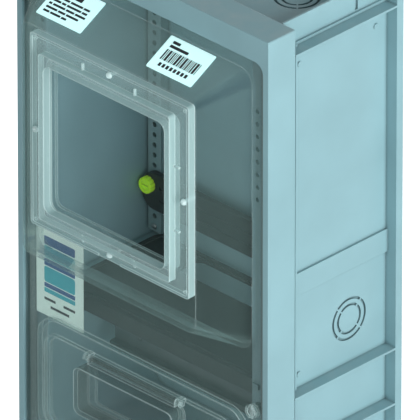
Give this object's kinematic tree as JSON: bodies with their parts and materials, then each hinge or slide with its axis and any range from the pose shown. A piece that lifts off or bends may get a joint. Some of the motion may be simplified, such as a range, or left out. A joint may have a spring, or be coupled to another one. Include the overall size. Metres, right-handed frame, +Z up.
{
  "type": "electric meter box",
  "caption": "Wall-mounted plastic electricity meter box with a hinged clear lid, a raised hood with a framed reading window, a breaker flap and an adjustable meter crossbar",
  "frame": {"origin": "middle of the wall-fixing pattern on the wall plane", "axes": "+X to the right seen from the front, +Y into the wall, +Z up"},
  "size_m": [0.308, 0.2165, 0.52],
  "materials": {
    "grey_housing": "fine moulded texture",
    "grey_fitting": "smooth moulded",
    "black_plastic": "satin moulded",
    "clear_plastic": "polished clear, slightly smoky",
    "frosted_plastic": "translucent white",
    "lime_plastic": "smooth moulded",
    "plated_steel": "zinc plated",
    "seal_rubber": "matt"
  },
  "bodies": {
    "base": {"base_shell": "grey_housing", "meter_rail_left": "grey_fitting", "meter_rail_right": "grey_fitting", "rail_screws": "plated_steel", "divider_shelf": "black_plastic", "shelf_screws": "plated_steel", "breaker_din_rail": "plated_steel", "din_rail_screws": "plated_steel", "lid_seal": "seal_rubber", "hinge_pins": "plated_steel"},
    "lid": {"lid_frame": "grey_housing", "clear_cover": "clear_plastic", "cover_screws": "plated_steel", "window_frame": "frosted_plastic", "window_pane": "clear_plastic", "window_screws": "frosted_plastic", "flap_pin": "clear_plastic"},
    "flap": {"breaker_flap": "clear_plastic"},
    "lock": {"seal_lock": "frosted_plastic"},
    "crossbar": {"meter_crossbar": "black_plastic"},
    "left_knob": {"crossbar_knob_left": "lime_plastic"},
    "right_knob": {"crossbar_knob_right": "lime_plastic"}
  },
  "joints": [
    {"name": "lid_hinge", "type": "hinge", "parent": "base", "child": "lid", "pos_m": [-0.154, -0.124, 0], "axis": [0, 0, -1], "range_deg": [0, 110]},
    {"name": "flap_hinge", "type": "hinge", "parent": "lid", "child": "flap", "pos_m": [0, -0.173, -0.1225], "axis": [-1, 0, 0], "range_deg": [0, 100]},
    {"name": "lock_turn", "type": "hinge", "parent": "lid", "child": "lock", "pos_m": [0.131, -0.16, -0.104], "axis": [0, 1, 0], "range_deg": [0, 90]},
    {"name": "crossbar_slide", "type": "slide", "parent": "base", "child": "crossbar", "axis": [0, 0, 1], "range_m": [-0.015, 0.24]},
    {"name": "left_knob_turn", "type": "hinge", "parent": "crossbar", "child": "left_knob", "pos_m": [-0.1245, -0.032, -0.0383], "axis": [0, 1, 0], "continuous": true},
    {"name": "right_knob_turn", "type": "hinge", "parent": "crossbar", "child": "right_knob", "pos_m": [0.1245, -0.032, -0.0383], "axis": [0, 1, 0], "continuous": true}
  ]
}
